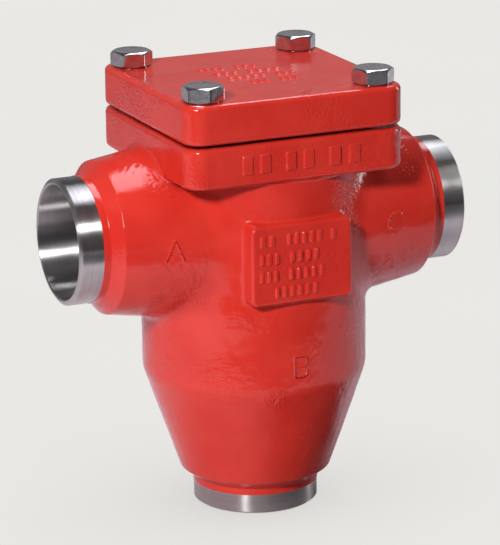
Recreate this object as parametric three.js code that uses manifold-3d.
// Three-port thermostatic valve, nominal size 50 mm, for welding into an oil or refrigerant line.
// A red-painted steel casting carries ports A and C on one horizontal axis and port B below. A square
// cover on four bolts closes the top. Inside, a wax element lifts a sleeve: cold, the sleeve shuts
// port B; hot, it shuts port A. Port C is the common outlet.
// Units are millimetres, +Z is up, +Y is the back, and port A points to -X. The finished group's
// origin is the centre of port B's end face; the code below works from the crossing of the port axes.
import * as THREE from "three";
import { mergeVertices } from "three/addons/utils/BufferGeometryUtils.js";
import Module from "manifold-3d";

// Driving dimensions
const FACE_TO_AXIS = 100; // port A or C end face to the vertical axis
const AXIS_HEIGHT = 140; // port B end face to the A-C axis
const PIPE_R = 30.15; // outside of a DN 50 pipe
const BORE_R = 27.25; // inside of a DN 50 pipe of 2.9 mm wall
const BARREL_R = 54.2;
const RIM_R = 36.7; // casting where a port's chamfer and neck begin
const SIDE_RIM = 80; // that rim on ports A and C, from the vertical axis
const LOWER_RIM = 122.3; // and on port B, below the A-C axis
const SIDE_CONE = 9; // degrees by which ports A and C widen towards the barrel
const NECK_LENGTH = 14.3; // bare pipe diameter at a port's end, bevel included
const BEVEL_LENGTH = 1.2; // weld preparation
const BEVEL_DEPTH = 1.7;
const PLATE_HALF = 55.7; // half the side of the square flange and cover
const PLATE_CORNER_R = 10;
const PLATE_EDGE_R = 2.6;
const FLANGE_BOTTOM_Z = 31;
const FLANGE_TOP_Z = 51;
const GASKET = 1;
const COVER_THICKNESS = 19;
const BOLT_XY = 43.4; // bolt centres from the vertical axis
const BOLT_R = 5.9; // M12 thread
const BOLT_LENGTH = 35;
const BOLT_HEAD_FLATS = 18;
const BOLT_HEAD_HEIGHT = 7.5;
const BOLT_TURNS = [-4, 17, 22, 15]; // where each head stopped, in degrees about its own axis
const PAD = { left: -25.5, right: 25.5, bottom: -27, top: 11.5, face: -57.5 }; // rating pad, in front
const SLEEVE_R = 24;
const SLEEVE_BORE_R = 21.4;
const SLEEVE_BOTTOM_Z = -56;
const SLEEVE_TOP_Z = 3.7;
const ROD_PITCH_R = 29.6; // tie rods from the vertical axis
const GAP = 0.3; // running and fitting clearance between separate pieces

// Levels and radii that follow from them
const COVER_BOTTOM_Z = FLANGE_TOP_Z + GASKET;
const COVER_TOP_Z = COVER_BOTTOM_Z + COVER_THICKNESS;
const SPIGOT_R = 40.6;
const SPIGOT_BOTTOM_Z = COVER_BOTTOM_Z - 5.5;
const BOSS_R = 5; // under the spigot, for the spring cup
const TOP_BORE_R = 41;
const LEDGE_Z = 20; // the upper seat ring rests here
const LEDGE_BORE_R = 36.5;
const HOT_ROOM_R = 42;
const HOT_ROOM_TOP_Z = 12;
const WEB_TOP_Z = -30;
const WEB_BOTTOM_Z = -38;
const WEB_BORE_R = 33;
const COLD_ROOM_R = 46;
const SEAT_FACE_Z = 14;
const SEAT_RING_TOP_Z = 26;
const SEAT_SEAL = { radius: 35.15, thickness: 2, z: 17 };
const GUIDE_FLANGE_R = 36;
const GUIDE_FLANGE_TOP_Z = -24.7;
const SLEEVE_SEAL = { radius: 25.2, thickness: 1.9, z: -33 };
const ROD_R = 1.9;
const ROD_HOLE_R = 2.2;
const ROD_NUT_FLATS = 7;
const ROD_NUT_HEIGHT = 3;
const CARRIER_TOP_Z = -18;
const CARRIER_BOTTOM_Z = -24;
const CIRCLIP_TOP_Z = CARRIER_TOP_Z + 1.5;
const DISC_TOP_Z = SLEEVE_BOTTOM_Z - GAP;
const DISC_BOTTOM_Z = DISC_TOP_Z - 5;
const PISTON_R = 2.2;
const PISTON_SOCKET_Z = DISC_TOP_Z + 1.3; // bottom of the blind hole that holds the piston
const WAX_R = 6.7;
const WAX_TOP_Z = 5.2;
const ELEMENT_FLANGE_R = 9.3;
const ELEMENT_SEAM_Z = -15.2; // where the cup sits on the guide
const SPRING_TOP_Z = 43.2;
const SPRING_R = 11;
const SPRING_WIRE_R = 1.2;
const SPRING_COILS = 8;
const SPRING_CUP_R = 14;

const CASTING_ROUND = 40; // facets round the outside of the casting and its port bores
const ROUND = 32; // facets round the rooms and the turned trim inside
const SMALL_ROUND = 16; // facets round rods, bolts and the wax element

const wasm = await Module();
wasm.setup();

const material = (color, roughness, metalness) =>
  new THREE.MeshStandardMaterial({ color, roughness, metalness });
const paint = material(0xc8281c, 0.25, 0.1);
const steel = material(0x9a9a9c, 0.35, 1);
const stainless = material(0xb4b4b2, 0.3, 1);
const brass = material(0xb08d4a, 0.35, 1);
const fibre = material(0x4b5a52, 0.9, 0);
const rubber = material(0x1c1c1c, 0.8, 0);
const wax = material(0xd9cfae, 0.6, 0);

// --- from geometry to solid and back -------------------------------------------------------

function solidOf(geometry) {
  const bare = new THREE.BufferGeometry();
  bare.setAttribute("position", geometry.getAttribute("position"));
  if (geometry.index) bare.setIndex(geometry.index);
  const merged = mergeVertices(bare, 1e-4);
  return new wasm.Manifold(
    new wasm.Mesh({
      numProp: 3,
      vertProperties: merged.attributes.position.array,
      triVerts: new Uint32Array(merged.index.array),
    }),
  );
}

function geometryOf(solid) {
  const { vertProperties, triVerts } = solid.getMesh();
  const geometry = new THREE.BufferGeometry();
  geometry.setAttribute("position", new THREE.BufferAttribute(vertProperties, 3));
  geometry.setIndex(new THREE.BufferAttribute(triVerts, 1));
  return geometry;
}

const join = (...solids) => solids.reduce((whole, next) => whole.add(next));
const cut = (solid, ...tools) => tools.reduce((left, tool) => left.subtract(tool), solid);

// --- shapes --------------------------------------------------------------------------------

// A turned solid about +Z. The profile is [radius, height] pairs running upwards on the outside; it
// starts and ends on the axis, or is closed back to its first point when it stays off the axis.
function turned(profile, facets = ROUND) {
  const [first] = profile;
  const closed = first[0] > 0 ? [...profile, first] : profile;
  const points = closed.map(([r, z]) => new THREE.Vector2(r, z));
  return solidOf(new THREE.LatheGeometry(points, facets).rotateX(Math.PI / 2));
}

const rod = (radius, bottom, top, facets = SMALL_ROUND) =>
  turned([[0, bottom], [radius, bottom], [radius, top], [0, top]], facets);

const ring = (inner, outer, bottom, top, facets = ROUND) =>
  turned([[inner, bottom], [outer, bottom], [outer, top], [inner, top]], facets);

function block(x0, x1, y0, y1, z0, z1) {
  const box = new THREE.BoxGeometry(x1 - x0, y1 - y0, z1 - z0);
  return solidOf(box.translate((x0 + x1) / 2, (y0 + y1) / 2, (z0 + z1) / 2));
}

const hexPrism = (flats, bottom, top) => rod(flats / 2 / Math.cos(Math.PI / 6), bottom, top, 6);

// A round seal: a torus about +Z.
function sealRing({ radius, thickness, z }) {
  const torus = new THREE.TorusGeometry(radius, thickness / 2, 6, ROUND);
  return solidOf(torus.translate(0, 0, z));
}

// The square plate that the flange and the cover share, with rounded corners and edges.
function squarePlate(bottom, top) {
  const half = PLATE_HALF - PLATE_EDGE_R;
  const r = PLATE_CORNER_R - PLATE_EDGE_R;
  const shape = new THREE.Shape();
  shape.moveTo(r - half, -half);
  shape.absarc(half - r, r - half, r, -Math.PI / 2, 0);
  shape.absarc(half - r, half - r, r, 0, Math.PI / 2);
  shape.absarc(r - half, half - r, r, Math.PI / 2, Math.PI);
  shape.absarc(r - half, r - half, r, Math.PI, 1.5 * Math.PI);
  const plate = new THREE.ExtrudeGeometry(shape, {
    depth: top - bottom - 2 * PLATE_EDGE_R,
    bevelSize: PLATE_EDGE_R,
    bevelThickness: PLATE_EDGE_R,
    bevelSegments: 2,
    curveSegments: 4,
  });
  return solidOf(plate.translate(0, 0, bottom + PLATE_EDGE_R));
}

// A passage of elliptical section that follows points in the XZ plane.
function passage(halfWidth, halfHeight, points) {
  const section = new THREE.Shape();
  section.absellipse(0, 0, halfWidth, halfHeight, 0, 2 * Math.PI);
  const path = new THREE.CatmullRomCurve3(points.map(([x, z]) => new THREE.Vector3(x, 0, z)));
  return solidOf(
    new THREE.ExtrudeGeometry(section, { steps: 8, curveSegments: 10, extrudePath: path }),
  );
}

const thirds = [0, 1, 2].map((k) => Math.PI / 2 + (k * 2 * Math.PI) / 3);
const corners = [[-1, -1], [1, -1], [1, 1], [-1, 1]];
const atAngle = (solid, angle) => solid.rotate([0, 0, THREE.MathUtils.radToDeg(angle)]);
const aimedAlongX = (solid, side) => solid.rotate([0, side * 90, 0]);

// --- casing --------------------------------------------------------------------------------

// A port's neck about +Z, weld bevel at the top end, raw rim at the bottom end.
function neckProfile(end, rimZ) {
  return [
    [RIM_R, rimZ],
    [PIPE_R, end - NECK_LENGTH],
    [PIPE_R, end - BEVEL_LENGTH],
    [PIPE_R - BEVEL_DEPTH, end],
    [0, end],
  ];
}

function sidePort(side) {
  const coneStart = 20;
  const rootR = RIM_R + (SIDE_RIM - coneStart) * Math.tan(THREE.MathUtils.degToRad(SIDE_CONE));
  const neck = neckProfile(FACE_TO_AXIS, SIDE_RIM);
  return aimedAlongX(turned([[0, coneStart], [rootR, coneStart], ...neck], CASTING_ROUND), side);
}

function valveBody() {
  const neck = neckProfile(AXIS_HEIGHT, LOWER_RIM).map(([r, z]) => [r, -z]).reverse();
  const barrelTop = FLANGE_BOTTOM_Z + 2;
  const bend = [[50.8, -80.8], [53.4, -71.2], [BARREL_R, -62]];
  const barrel = turned([...neck, ...bend, [BARREL_R, barrelTop], [0, barrelTop]], CASTING_ROUND);
  const ratingPad = block(PAD.left, PAD.right, PAD.face, 0, PAD.bottom, PAD.top);
  const outside = join(
    barrel,
    sidePort(-1),
    sidePort(1),
    squarePlate(FLANGE_BOTTOM_Z, FLANGE_TOP_Z),
    ratingPad,
  );
  const room = turned([
    [0, -AXIS_HEIGHT - 1],
    [BORE_R, -AXIS_HEIGHT - 1],
    [BORE_R, -124],
    [COLD_ROOM_R, -68],
    [COLD_ROOM_R, WEB_BOTTOM_Z],
    [WEB_BORE_R, WEB_BOTTOM_Z],
    [WEB_BORE_R, WEB_TOP_Z],
    [HOT_ROOM_R, WEB_TOP_Z],
    [HOT_ROOM_R, HOT_ROOM_TOP_Z],
    [LEDGE_BORE_R, HOT_ROOM_TOP_Z],
    [LEDGE_BORE_R, LEDGE_Z],
    [TOP_BORE_R, LEDGE_Z],
    [TOP_BORE_R, FLANGE_TOP_Z + 1],
    [0, FLANGE_TOP_Z + 1],
  ]);
  const portBore = rod(BORE_R, SIDE_RIM - 18, FACE_TO_AXIS + 1, CASTING_ROUND);
  const hotPassage = passage(24, 20, [[-72, 0], [-58, -2], [-44, -8], [-30, -9]]);
  const outletPassage = passage(27, 11, [[76, -2], [65, 6], [55.5, 18], [46, 29.5], [34, 33.5]]);
  const boltHole = rod(BOLT_R + GAP, FLANGE_BOTTOM_Z + 3, FLANGE_TOP_Z + 1);
  const boltHoles = corners.map(([x, y]) => boltHole.translate([x * BOLT_XY, y * BOLT_XY, 0]));
  return cut(
    outside,
    room,
    aimedAlongX(portBore, -1),
    aimedAlongX(portBore, 1),
    hotPassage,
    outletPassage,
    ...boltHoles,
  );
}

function topCover() {
  const boss = rod(BOSS_R, SPIGOT_BOTTOM_Z - 6, SPIGOT_BOTTOM_Z + 1);
  const spigot = rod(SPIGOT_R, SPIGOT_BOTTOM_Z, COVER_BOTTOM_Z + 1, ROUND);
  const hole = rod(BOLT_R + 0.7, COVER_BOTTOM_Z - 1, COVER_TOP_Z + 1);
  const holes = corners.map(([x, y]) => hole.translate([x * BOLT_XY, y * BOLT_XY, 0]));
  return cut(join(squarePlate(COVER_BOTTOM_Z, COVER_TOP_Z), spigot, boss), ...holes);
}

const coverGasket = () =>
  ring(TOP_BORE_R + 1, TOP_BORE_R + 10, FLANGE_TOP_Z + GAP / 2, COVER_BOTTOM_Z - GAP / 2);

function coverBolt([x, y], turn) {
  const seatZ = COVER_TOP_Z + GAP / 2;
  const head = hexPrism(BOLT_HEAD_FLATS, seatZ, seatZ + BOLT_HEAD_HEIGHT);
  const shank = rod(BOLT_R, seatZ - BOLT_LENGTH, seatZ + 1);
  return join(head, shank).rotate([0, 0, turn]).translate([x * BOLT_XY, y * BOLT_XY, 0]);
}

// --- fixed trim ----------------------------------------------------------------------------

const rodHoles = (bottom, top) =>
  thirds.map((a) => atAngle(rod(ROD_HOLE_R, bottom, top).translate([ROD_PITCH_R, 0, 0]), a));

function upperSeatRing() {
  const bore = 20.8;
  const collarR = LEDGE_BORE_R - GAP;
  const grooveR = SEAT_SEAL.radius - SEAT_SEAL.thickness / 2 - 0.05;
  const halfGroove = SEAT_SEAL.thickness / 2 + 0.4;
  const body = turned([
    [bore, SEAT_FACE_Z],
    [collarR, SEAT_FACE_Z],
    [collarR, SEAT_SEAL.z - halfGroove],
    [grooveR, SEAT_SEAL.z - halfGroove],
    [grooveR, SEAT_SEAL.z + halfGroove],
    [collarR, SEAT_SEAL.z + halfGroove],
    [collarR, LEDGE_Z + GAP],
    [TOP_BORE_R - GAP, LEDGE_Z + GAP],
    [TOP_BORE_R - GAP, SEAT_RING_TOP_Z],
    [bore, SEAT_RING_TOP_Z],
  ]);
  return cut(body, ...rodHoles(SEAT_FACE_Z - 1, SEAT_RING_TOP_Z + 1));
}

// A lantern ring that the cover's spigot presses onto the seat ring; the outlet flow leaves by its windows.
function holdDownCage() {
  const bottom = SEAT_RING_TOP_Z + GAP;
  const top = SPIGOT_BOTTOM_Z - GAP;
  const tube = ring(36.3, TOP_BORE_R - GAP, bottom, top);
  const window = block(30, 50, -12, 12, bottom + 3.2, top - 3.2);
  const turns = [0, 1, 2, 3, 4, 5].map((k) => (k * Math.PI) / 3);
  return cut(tube, ...turns.map((a) => atAngle(window, a)));
}

function guideRing() {
  const bore = SLEEVE_R + GAP;
  const grooveR = SLEEVE_SEAL.radius + SLEEVE_SEAL.thickness / 2 + 0.15;
  const halfGroove = SLEEVE_SEAL.thickness / 2 + 0.25;
  const flangeBottom = WEB_TOP_Z + 1 + GAP;
  const body = turned([
    [bore, WEB_BOTTOM_Z],
    [WEB_BORE_R - GAP, WEB_BOTTOM_Z],
    [WEB_BORE_R - GAP, flangeBottom],
    [GUIDE_FLANGE_R, flangeBottom],
    [GUIDE_FLANGE_R, GUIDE_FLANGE_TOP_Z],
    [bore, GUIDE_FLANGE_TOP_Z],
    [bore, SLEEVE_SEAL.z + halfGroove],
    [grooveR, SLEEVE_SEAL.z + halfGroove],
    [grooveR, SLEEVE_SEAL.z - halfGroove],
    [bore, SLEEVE_SEAL.z - halfGroove],
  ]);
  return cut(body, ...rodHoles(WEB_BOTTOM_Z - 1, GUIDE_FLANGE_TOP_Z + 1));
}

const guideRingGasket = () =>
  ring(WEB_BORE_R + GAP, GUIDE_FLANGE_R - 0.2, WEB_TOP_Z + GAP / 2, WEB_TOP_Z + 1);

// Shuts the sleeve's lower edge, carries the element's piston and hangs on the tie rods by three lugs.
function lowerSeatDisc() {
  const bossTop = DISC_TOP_Z + 4.3;
  const disc = rod(SLEEVE_R + 1, DISC_BOTTOM_Z, DISC_TOP_Z, ROUND);
  const boss = rod(6, DISC_BOTTOM_Z, bossTop);
  const lug = block(20, ROD_PITCH_R + 3, -4.5, 4.5, DISC_BOTTOM_Z, DISC_TOP_Z);
  const socket = rod(PISTON_R + GAP, PISTON_SOCKET_Z, bossTop + 1);
  const body = join(disc, boss, ...thirds.map((a) => atAngle(lug, a)));
  return cut(body, socket, ...rodHoles(DISC_BOTTOM_Z - 1, DISC_TOP_Z + 1));
}

function tieRod(angle) {
  const headBottom = SEAT_RING_TOP_Z + GAP;
  const head = hexPrism(ROD_NUT_FLATS, headBottom, headBottom + ROD_NUT_HEIGHT);
  const shaft = rod(ROD_R, DISC_BOTTOM_Z - GAP - 2 * ROD_NUT_HEIGHT + 0.6, headBottom + 1);
  return atAngle(join(head, shaft).translate([ROD_PITCH_R, 0, 0]), angle);
}

function tieRodNut(angle) {
  const top = DISC_BOTTOM_Z - GAP;
  const bottom = top - ROD_NUT_HEIGHT;
  const nut = cut(hexPrism(ROD_NUT_FLATS, bottom, top), rod(ROD_HOLE_R, bottom - 1, top + 1));
  return atAngle(nut.translate([ROD_PITCH_R, 0, 0]), angle);
}

const spacer = (angle, bottom, top) =>
  atAngle(
    ring(ROD_HOLE_R, ROD_HOLE_R + 1.1, bottom, top, SMALL_ROUND).translate([ROD_PITCH_R, 0, 0]),
    angle,
  );
const upperSpacer = (angle) => spacer(angle, GUIDE_FLANGE_TOP_Z + GAP, SEAT_FACE_Z - GAP);
const lowerSpacer = (angle) => spacer(angle, DISC_TOP_Z + GAP, WEB_BOTTOM_Z - GAP);

const elementPiston = () => rod(PISTON_R, PISTON_SOCKET_Z + GAP, CARRIER_TOP_Z - 2);

// A turned cup round the cover's boss that centres the spring.
function springSeat() {
  const rimBore = SPRING_R + SPRING_WIRE_R + 0.4;
  const rimBottom = SPRING_TOP_Z - 1.7;
  return turned([
    [BOSS_R + GAP, SPRING_TOP_Z + GAP],
    [rimBore, SPRING_TOP_Z + GAP],
    [rimBore, rimBottom],
    [SPRING_CUP_R, rimBottom],
    [SPRING_CUP_R, SPIGOT_BOTTOM_Z - GAP],
    [BOSS_R + GAP, SPIGOT_BOTTOM_Z - GAP],
  ]);
}

function returnSpring() {
  const bottom = CARRIER_TOP_Z + GAP + SPRING_WIRE_R;
  const top = SPRING_TOP_Z - SPRING_WIRE_R;
  class Helix extends THREE.Curve {
    getPoint(t) {
      const angle = t * SPRING_COILS * 2 * Math.PI;
      const z = bottom + (top - bottom) * t;
      return new THREE.Vector3(SPRING_R * Math.cos(angle), SPRING_R * Math.sin(angle), z);
    }
  }
  const wire = new THREE.Shape().absarc(0, 0, SPRING_WIRE_R, 0, 2 * Math.PI);
  const options = { steps: SPRING_COILS * 12, curveSegments: 3, extrudePath: new Helix() };
  return solidOf(new THREE.ExtrudeGeometry(wire, options));
}

// --- moving trim ---------------------------------------------------------------------------

function controlSleeve() {
  const shoulderTop = CARRIER_BOTTOM_Z - GAP;
  const shoulderR = SLEEVE_BORE_R - 1.6;
  const grooveR = SLEEVE_BORE_R + 1.1;
  const grooveTop = CIRCLIP_TOP_Z + GAP;
  return turned([
    [SLEEVE_BORE_R, SLEEVE_BOTTOM_Z],
    [SLEEVE_R - 1, SLEEVE_BOTTOM_Z],
    [SLEEVE_R, SLEEVE_BOTTOM_Z + 1.5],
    [SLEEVE_R, SLEEVE_TOP_Z - 1.5],
    [SLEEVE_R - 1, SLEEVE_TOP_Z],
    [SLEEVE_BORE_R, SLEEVE_TOP_Z],
    [SLEEVE_BORE_R, grooveTop],
    [grooveR, grooveTop],
    [grooveR, CARRIER_TOP_Z],
    [SLEEVE_BORE_R, CARRIER_TOP_Z],
    [SLEEVE_BORE_R, shoulderTop],
    [shoulderR, shoulderTop],
    [shoulderR, shoulderTop - 2.5],
    [SLEEVE_BORE_R, shoulderTop - 4.1],
  ]);
}

function elementCarrier() {
  const rim = ring(19, SLEEVE_BORE_R - GAP, CARRIER_BOTTOM_Z, CARRIER_TOP_Z);
  const hub = ring(5.8, 12.6, CARRIER_BOTTOM_Z, CARRIER_TOP_Z);
  const arm = block(12, 20, -2.5, 2.5, CARRIER_BOTTOM_Z, CARRIER_TOP_Z);
  return join(rim, hub, ...thirds.map((a) => atAngle(arm, a)));
}

function carrierCirclip() {
  const clip = ring(19.6, SLEEVE_BORE_R + 0.8, CARRIER_TOP_Z + GAP, CIRCLIP_TOP_Z);
  return cut(clip, block(-30, -15, -4, 4, CARRIER_TOP_Z, CIRCLIP_TOP_Z + 1));
}

// The brass stem in which the piston slides; its flange hangs the element on the carrier.
function elementGuide() {
  const stemBottom = -40;
  const stemR = 5.5;
  const flangeTop = ELEMENT_SEAM_Z - GAP;
  return turned(
    [
      [0, flangeTop - 1.5],
      [PISTON_R + GAP, flangeTop - 1.5],
      [PISTON_R + GAP, stemBottom],
      [stemR - 1, stemBottom],
      [stemR, stemBottom + 1.5],
      [stemR, CARRIER_TOP_Z + GAP],
      [ELEMENT_FLANGE_R, CARRIER_TOP_Z + GAP],
      [ELEMENT_FLANGE_R, flangeTop],
      [0, flangeTop],
    ],
    SMALL_ROUND,
  );
}

const elementDiaphragm = () => rod(WAX_R, ELEMENT_SEAM_Z, ELEMENT_SEAM_Z + 1.2);

const waxCharge = () => rod(WAX_R, ELEMENT_SEAM_Z + 1.5, WAX_TOP_Z);

function elementCup() {
  const cavityR = WAX_R + GAP;
  const outsideR = cavityR + 1;
  return turned(
    [
      [0, WAX_TOP_Z + GAP],
      [cavityR - 0.5, WAX_TOP_Z + GAP],
      [cavityR, WAX_TOP_Z - 0.2],
      [cavityR, ELEMENT_SEAM_Z],
      [ELEMENT_FLANGE_R, ELEMENT_SEAM_Z],
      [ELEMENT_FLANGE_R, ELEMENT_SEAM_Z + 2.2],
      [outsideR, ELEMENT_SEAM_Z + 3.2],
      [outsideR, WAX_TOP_Z - 0.2],
      [outsideR - 1.5, WAX_TOP_Z + 2.3],
      [0, WAX_TOP_Z + 2.8],
    ],
    SMALL_ROUND,
  );
}

// --- assembly ------------------------------------------------------------------------------

const part = new THREE.Group();
part.position.z = AXIS_HEIGHT;

function add(name, solid, finish) {
  const mesh = new THREE.Mesh(geometryOf(solid), finish);
  mesh.name = name;
  part.add(mesh);
}

add("valve_body", valveBody(), paint);
add("top_cover", topCover(), paint);
add("cover_gasket", coverGasket(), fibre);
corners.forEach((corner, k) => {
  add(`cover_bolt_${k + 1}`, coverBolt(corner, BOLT_TURNS[k]), stainless);
});

add("upper_seat_ring", upperSeatRing(), steel);
add("seat_ring_seal", sealRing(SEAT_SEAL), rubber);
add("hold_down_cage", holdDownCage(), steel);
add("guide_ring", guideRing(), steel);
add("guide_ring_gasket", guideRingGasket(), fibre);
add("sleeve_seal", sealRing(SLEEVE_SEAL), rubber);
add("lower_seat_disc", lowerSeatDisc(), steel);
thirds.forEach((angle, k) => {
  add(`tie_rod_${k + 1}`, tieRod(angle), stainless);
  add(`tie_rod_nut_${k + 1}`, tieRodNut(angle), stainless);
  add(`upper_spacer_${k + 1}`, upperSpacer(angle), stainless);
  add(`lower_spacer_${k + 1}`, lowerSpacer(angle), stainless);
});
add("element_piston", elementPiston(), stainless);
add("spring_seat", springSeat(), steel);
add("return_spring", returnSpring(), stainless);

add("control_sleeve", controlSleeve(), stainless);
add("element_carrier", elementCarrier(), steel);
add("carrier_circlip", carrierCirclip(), steel);
add("element_guide", elementGuide(), brass);
add("element_diaphragm", elementDiaphragm(), rubber);
add("wax_charge", waxCharge(), wax);
add("element_cup", elementCup(), brass);

export default part;
